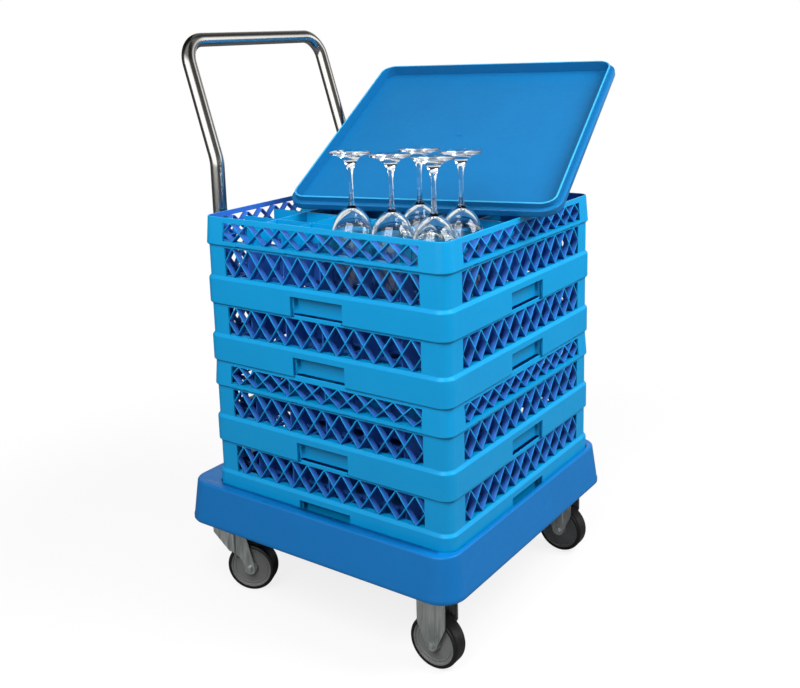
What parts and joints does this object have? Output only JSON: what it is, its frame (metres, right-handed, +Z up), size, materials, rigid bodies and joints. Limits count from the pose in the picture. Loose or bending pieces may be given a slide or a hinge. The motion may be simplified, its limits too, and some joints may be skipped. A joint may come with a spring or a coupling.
{
  "type": "glass rack dolly",
  "caption": "Square moulded dolly on fixed and swivel castors with a bent steel handle, carrying stacked lattice-sided glass racks, a loose lid and upturned stemmed glasses.",
  "frame": {"origin": "on the floor under the middle of the tray", "axes": "+X forward, away from the handle; +Y to the left of someone pushing; +Z up"},
  "size_m": [0.6496, 0.7133, 1.0127],
  "materials": {
    "tray_blue": "satin moulded plastic",
    "rack_blue": "semi-gloss moulded plastic",
    "lid_blue": "semi-gloss moulded plastic",
    "polished_steel": "polished tube",
    "zinc_steel": "zinc plated",
    "bright_steel": "ground",
    "core_grey": "satin moulded plastic",
    "tyre_black": "matt rubber",
    "clear_glass": "clear"
  },
  "bodies": {
    "dolly": {"tray": "tray_blue", "handle": "polished_steel", "castor_screws": "zinc_steel", "swivel_left_plate": "zinc_steel", "swivel_left_kingpin": "zinc_steel", "swivel_right_plate": "zinc_steel", "swivel_right_kingpin": "zinc_steel", "fixed_left_fork": "zinc_steel", "fixed_left_axle": "zinc_steel", "fixed_left_nut": "zinc_steel", "fixed_left_bush": "bright_steel", "fixed_right_fork": "zinc_steel", "fixed_right_axle": "zinc_steel", "fixed_right_nut": "zinc_steel", "fixed_right_bush": "bright_steel"},
    "swivel_left": {"swivel_left_balls": "bright_steel", "swivel_left_fork": "zinc_steel", "swivel_left_axle": "zinc_steel", "swivel_left_nut": "zinc_steel", "swivel_left_bush": "bright_steel"},
    "swivel_wheel_left": {"swivel_left_core": "core_grey", "swivel_left_tyre": "tyre_black"},
    "fixed_wheel_left": {"fixed_left_core": "core_grey", "fixed_left_tyre": "tyre_black"},
    "swivel_right": {"swivel_right_balls": "bright_steel", "swivel_right_fork": "zinc_steel", "swivel_right_axle": "zinc_steel", "swivel_right_nut": "zinc_steel", "swivel_right_bush": "bright_steel"},
    "swivel_wheel_right": {"swivel_right_core": "core_grey", "swivel_right_tyre": "tyre_black"},
    "fixed_wheel_right": {"fixed_right_core": "core_grey", "fixed_right_tyre": "tyre_black"},
    "rack_1": {"rack_1_frame": "rack_blue", "rack_1_lattice": "rack_blue", "rack_1_grid": "rack_blue"},
    "rack_2": {"rack_2_frame": "rack_blue", "rack_2_lattice": "rack_blue", "rack_2_grid": "rack_blue", "extender_2_frame": "rack_blue", "extender_2_lattice": "rack_blue", "extender_2_dividers": "rack_blue"},
    "rack_3": {"rack_3_frame": "rack_blue", "rack_3_lattice": "rack_blue", "rack_3_grid": "rack_blue"},
    "rack_4": {"rack_4_frame": "rack_blue", "rack_4_lattice": "rack_blue", "rack_4_grid": "rack_blue", "extender_4_frame": "rack_blue", "extender_4_lattice": "rack_blue", "extender_4_dividers": "rack_blue"},
    "lid": {"lid": "lid_blue"},
    "glass_1": {"glass_1": "clear_glass"},
    "glass_2": {"glass_2": "clear_glass"},
    "glass_3": {"glass_3": "clear_glass"},
    "glass_4": {"glass_4": "clear_glass"},
    "glass_5": {"glass_5": "clear_glass"}
  },
  "joints": [
    {"name": "swivel_left_turn", "type": "hinge", "parent": "dolly", "child": "swivel_left", "pos_m": [-0.226, -0.225, 0.145], "axis": [0, 0, 1], "continuous": true},
    {"name": "swivel_wheel_left_roll", "type": "hinge", "parent": "swivel_left", "child": "swivel_wheel_left", "pos_m": [-0.19102, -0.21015, 0.045], "axis": [-0.3907, 0.9205, 0], "continuous": true},
    {"name": "fixed_wheel_left_roll", "type": "hinge", "parent": "dolly", "child": "fixed_wheel_left", "pos_m": [0.226, -0.225, 0.045], "axis": [0, 1, 0], "continuous": true},
    {"name": "swivel_right_turn", "type": "hinge", "parent": "dolly", "child": "swivel_right", "pos_m": [-0.226, 0.225, 0.145], "axis": [0, 0, 1], "continuous": true},
    {"name": "swivel_wheel_right_roll", "type": "hinge", "parent": "swivel_right", "child": "swivel_wheel_right", "pos_m": [-0.19102, 0.23985, 0.045], "axis": [-0.3907, 0.9205, 0], "continuous": true},
    {"name": "fixed_wheel_right_roll", "type": "hinge", "parent": "dolly", "child": "fixed_wheel_right", "pos_m": [0.226, 0.225, 0.045], "axis": [0, 1, 0], "continuous": true},
    {"name": "rack_1_lift", "type": "slide", "parent": "dolly", "child": "rack_1", "axis": [0, 0, 1], "range_m": [0, 0.15]},
    {"name": "rack_2_lift", "type": "slide", "parent": "rack_1", "child": "rack_2", "axis": [0, 0, 1], "range_m": [0, 0.15]},
    {"name": "rack_3_lift", "type": "slide", "parent": "rack_2", "child": "rack_3", "axis": [0, 0, 1], "range_m": [0, 0.15]},
    {"name": "rack_4_lift", "type": "slide", "parent": "rack_3", "child": "rack_4", "axis": [0, 0, 1], "range_m": [0, 0.15]},
    {"name": "lid_lift", "type": "slide", "parent": "rack_4", "child": "lid", "axis": [0, 0, 1], "range_m": [0, 0.15]},
    {"name": "glass_1_lift", "type": "slide", "parent": "rack_4", "child": "glass_1", "axis": [0, 0, 1], "range_m": [0, 0.15]},
    {"name": "glass_2_lift", "type": "slide", "parent": "rack_4", "child": "glass_2", "axis": [0, 0, 1], "range_m": [0, 0.15]},
    {"name": "glass_3_lift", "type": "slide", "parent": "rack_4", "child": "glass_3", "axis": [0, 0, 1], "range_m": [0, 0.15]},
    {"name": "glass_4_lift", "type": "slide", "parent": "rack_4", "child": "glass_4", "axis": [0, 0, 1], "range_m": [0, 0.15]},
    {"name": "glass_5_lift", "type": "slide", "parent": "rack_4", "child": "glass_5", "axis": [0, 0, 1], "range_m": [0, 0.15]}
  ]
}
